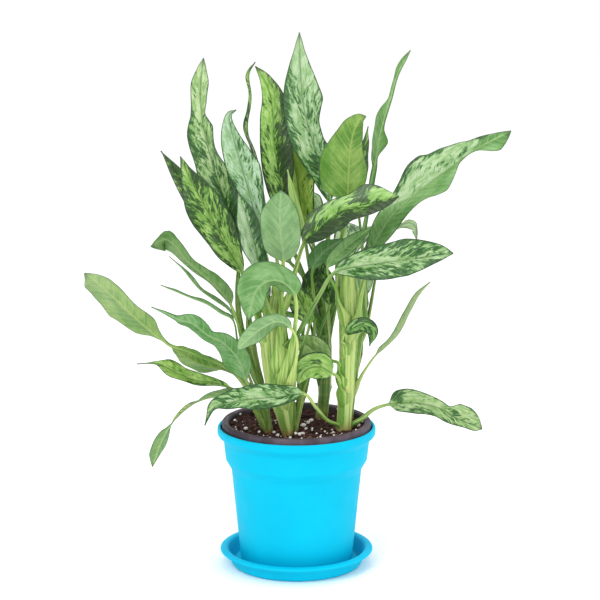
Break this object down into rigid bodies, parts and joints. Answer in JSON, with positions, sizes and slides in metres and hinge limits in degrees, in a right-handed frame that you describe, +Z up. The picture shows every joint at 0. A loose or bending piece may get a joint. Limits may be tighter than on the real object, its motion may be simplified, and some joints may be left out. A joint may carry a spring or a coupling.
{
  "type": "potted chinese evergreen",
  "caption": "Chinese evergreen with silver-mottled leaves on upright canes, in a nursery pot set in a cyan pot on its saucer.",
  "frame": {"origin": "middle of the saucer's flat underside", "axes": "+Z up along the pots' axis, -Y towards the side seen in the picture, +X to its right"},
  "size_m": [0.427, 0.2573, 0.5401],
  "materials": {
    "pot_plastic": "smooth cyan moulded plastic, half glossy",
    "grow_pot_plastic": "dark thin nursery-pot plastic, dull",
    "potting_mix": "damp dark potting mix with bark chips and white perlite",
    "cane": "smooth fresh stem, yellow green with pale rings",
    "leaf": "waxy leaf: upper side silver and green mottled, under side plain pale green"
  },
  "bodies": {
    "root": {"saucer": "pot_plastic", "outer_pot": "pot_plastic", "grow_pot": "grow_pot_plastic", "soil": "potting_mix", "cane_front_left": "cane", "leaf_front_left_1": "leaf", "leaf_front_left_2": "leaf", "leaf_front_left_3": "leaf", "leaf_front_left_4": "leaf", "leaf_front_left_5": "leaf", "leaf_front_left_6": "leaf", "leaf_front_left_7": "leaf", "leaf_front_left_8": "leaf", "leaf_front_left_9": "leaf", "cane_front_right": "cane", "leaf_front_right_1": "leaf", "leaf_front_right_2": "leaf", "leaf_front_right_3": "leaf", "leaf_front_right_4": "leaf", "leaf_front_right_5": "leaf", "leaf_front_right_6": "leaf", "leaf_front_right_7": "leaf", "leaf_front_right_8": "leaf", "cane_back": "cane", "leaf_back_1": "leaf", "leaf_back_2": "leaf", "leaf_back_3": "leaf", "leaf_back_4": "leaf", "leaf_back_5": "leaf", "leaf_back_6": "leaf", "leaf_back_7": "leaf", "leaf_back_8": "leaf", "leaf_back_9": "leaf", "cane_left": "cane", "leaf_left_1": "leaf", "leaf_left_2": "leaf", "leaf_left_3": "leaf", "leaf_left_4": "leaf", "leaf_left_5": "leaf", "leaf_left_6": "leaf", "leaf_left_7": "leaf", "leaf_left_8": "leaf", "leaf_left_9": "leaf", "leaf_left_10": "leaf", "leaf_left_11": "leaf", "cane_right": "cane", "leaf_right_1": "leaf", "leaf_right_2": "leaf", "leaf_right_3": "leaf", "leaf_right_4": "leaf", "leaf_right_5": "leaf", "leaf_right_6": "leaf", "cane_middle": "cane", "leaf_middle_1": "leaf", "leaf_middle_2": "leaf", "leaf_middle_3": "leaf", "leaf_middle_4": "leaf"}
  },
  "joints": []
}
